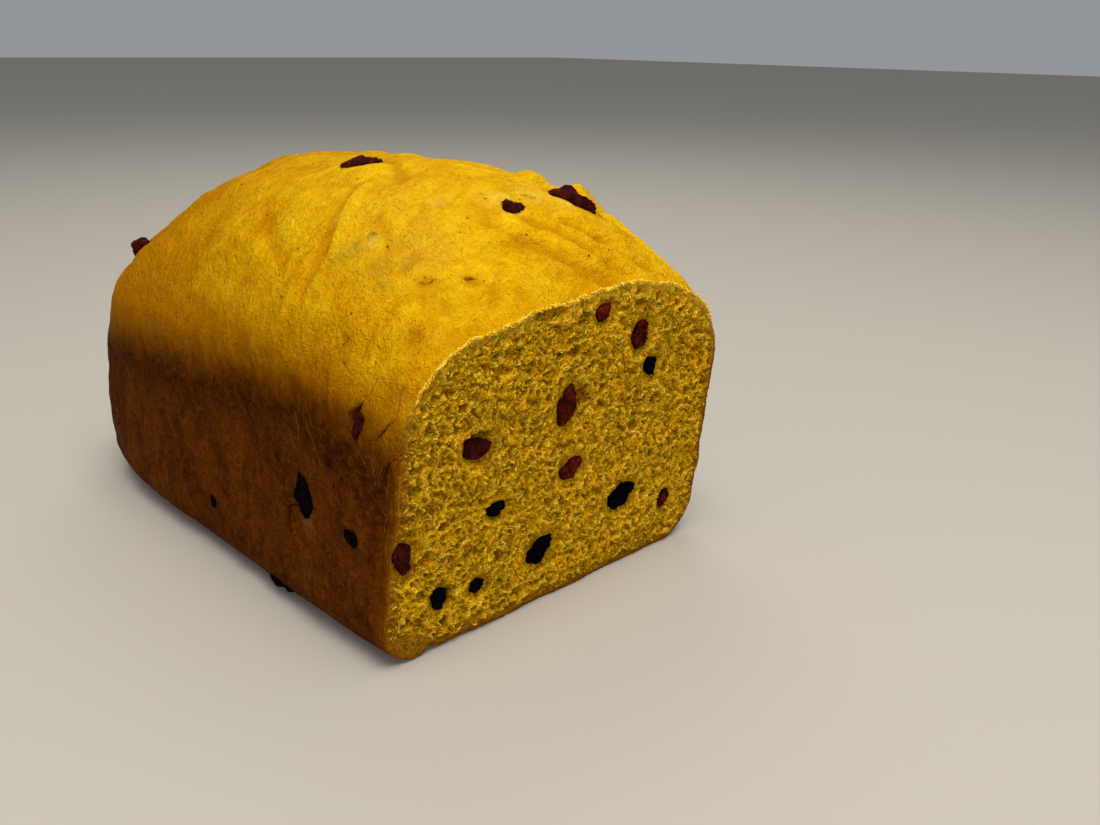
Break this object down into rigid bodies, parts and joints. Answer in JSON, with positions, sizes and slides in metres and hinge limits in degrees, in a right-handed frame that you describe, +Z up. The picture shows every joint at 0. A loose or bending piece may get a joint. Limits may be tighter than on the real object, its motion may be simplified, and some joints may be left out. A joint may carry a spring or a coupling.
{
  "type": "pumpkin bread",
  "caption": "Golden tin loaf with a domed crust and dried fruit in its crumb, cut across at one end, resting on its flat base.",
  "frame": {"origin": "on the table, under the middle of the cut loaf's bounding box", "axes": "+X along the loaf towards its cut face, -Y the long side that a viewer of the cut face sees on the left, +Z up"},
  "size_m": [0.1945, 0.1187, 0.1142],
  "materials": {
    "bread": "matte baked crust and open crumb",
    "cranberry": "wrinkled dried fruit, slightly glossy",
    "raisin": "wrinkled dried fruit, slightly glossy"
  },
  "bodies": {
    "root": {"cranberry_base_1": "cranberry", "cranberry_base_3": "cranberry", "cranberry_crest": "cranberry", "cranberry_cut_1": "cranberry", "cranberry_cut_3": "cranberry", "cranberry_cut_edge": "cranberry", "cranberry_cut_high": "cranberry", "cranberry_cut_left": "cranberry", "cranberry_cut_middle": "cranberry", "cranberry_cut_top": "cranberry", "cranberry_dome_1": "cranberry", "cranberry_dome_3": "cranberry", "cranberry_end_1": "cranberry", "cranberry_end_3": "cranberry", "cranberry_far_side_1": "cranberry", "cranberry_far_side_3": "cranberry", "cranberry_far_side_5": "cranberry", "cranberry_fold": "cranberry", "cranberry_rim": "cranberry", "cranberry_shoulder": "cranberry", "cranberry_slope": "cranberry", "loaf": "bread", "raisin_base_2": "raisin", "raisin_base_4": "raisin", "raisin_cut_2": "raisin", "raisin_cut_4": "raisin", "raisin_cut_base": "raisin", "raisin_cut_high": "raisin", "raisin_cut_low": "raisin", "raisin_cut_slit": "raisin", "raisin_dome_2": "raisin", "raisin_end_2": "raisin", "raisin_far": "raisin", "raisin_far_side_2": "raisin", "raisin_far_side_4": "raisin", "raisin_foot": "raisin", "raisin_low": "raisin", "raisin_tear": "raisin"}
  },
  "joints": []
}
